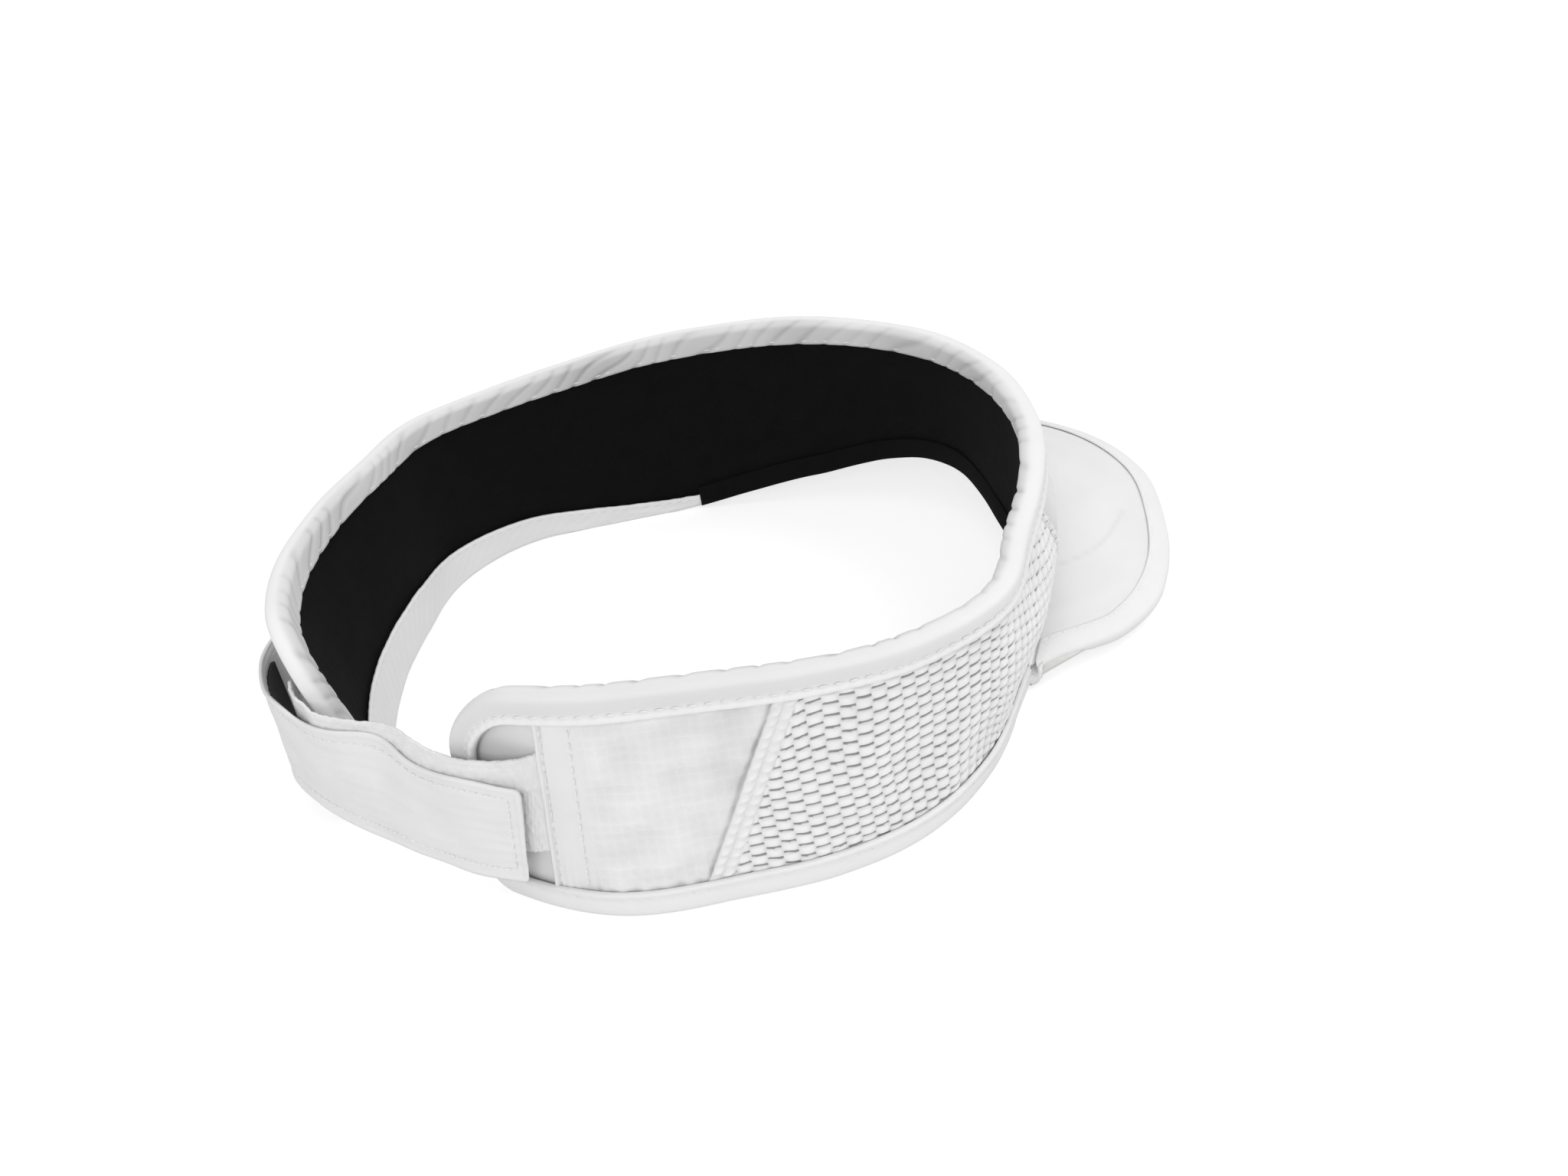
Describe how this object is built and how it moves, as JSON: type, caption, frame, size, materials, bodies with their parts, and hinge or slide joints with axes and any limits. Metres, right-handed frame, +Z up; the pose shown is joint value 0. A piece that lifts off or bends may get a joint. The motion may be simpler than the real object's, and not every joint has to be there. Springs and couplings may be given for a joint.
{
  "type": "sun visor",
  "caption": "Open-topped sports sun visor with a padded sweatband, mesh sides, a curved brim and a hook-and-loop strap closure at the back.",
  "frame": {"origin": "under the middle of the head opening, on the level that the band's bottom edge stands on", "axes": "+X towards the brim, +Y to the wearer's left, +Z up"},
  "size_m": [0.2444, 0.1887, 0.0573],
  "materials": {
    "fabric_white": "woven ripstop, matte",
    "mesh_white": "puffed knit mesh, matte",
    "binding_white": "folded tape, matte",
    "lining_black": "brushed terry, matte",
    "hook_black": "nylon hook tape",
    "loop_white": "napped loop tape",
    "stiffener_white": "plain sheet, hidden",
    "buckram_white": "stiffened cloth, hidden"
  },
  "bodies": {
    "headband": {"front_panel": "fabric_white", "front_buckram": "buckram_white", "lining": "lining_black", "mesh_panel_right": "mesh_white", "back_panel_right": "fabric_white", "back_hem_right": "fabric_white", "end_panel_right": "fabric_white", "mesh_panel_left": "mesh_white", "back_panel_left": "fabric_white", "back_hem_left": "fabric_white", "end_panel_left": "fabric_white", "top_binding": "binding_white", "bottom_binding_right": "binding_white", "bottom_binding_left": "binding_white", "brim_stiffener": "stiffener_white", "brim_top_cover": "fabric_white", "brim_under_cover": "fabric_white", "brim_binding": "binding_white", "strap_base": "fabric_white", "loop_strap": "loop_white"},
    "closure_strap": {"closure_strap": "fabric_white", "hook_tape": "hook_black"}
  },
  "joints": [
    {"name": "strap_peel", "type": "hinge", "parent": "headband", "child": "closure_strap", "pos_m": [-0.07187, 0.05303, 0.02295], "axis": [0.1478, -0.109, -0.983], "range_deg": [0, 100]}
  ]
}
